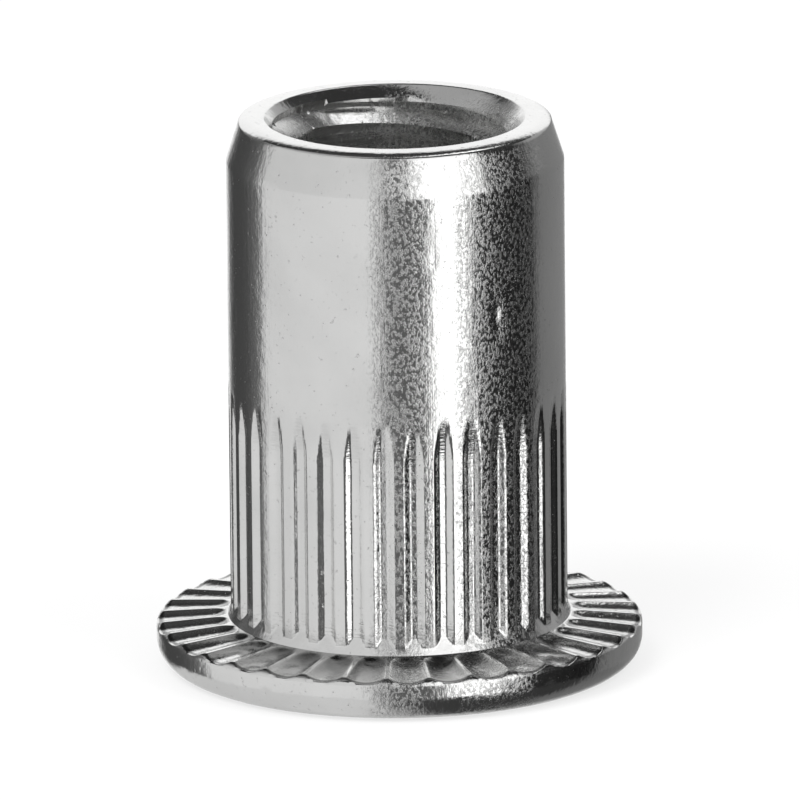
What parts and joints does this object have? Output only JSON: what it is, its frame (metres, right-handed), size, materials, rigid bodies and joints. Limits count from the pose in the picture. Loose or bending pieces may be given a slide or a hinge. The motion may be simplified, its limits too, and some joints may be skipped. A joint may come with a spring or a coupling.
{
  "type": "rivet nut",
  "caption": "Open-end rivet nut: internally threaded sleeve with a fluted shank, a tapered lead-in and a flat flange with a serrated face.",
  "frame": {"origin": "middle of the flange's outer face, on which the nut stands", "axes": "+Z along the thread axis, from the flange towards the threaded end; one flute is centred on +X"},
  "size_m": [0.0159, 0.0158, 0.0183],
  "materials": {
    "zinc_plated_steel": "bright zinc plating over cold-formed steel, speckled, scuffed and finely scratched"
  },
  "bodies": {
    "root": {"rivet_nut": "zinc_plated_steel"}
  },
  "joints": []
}
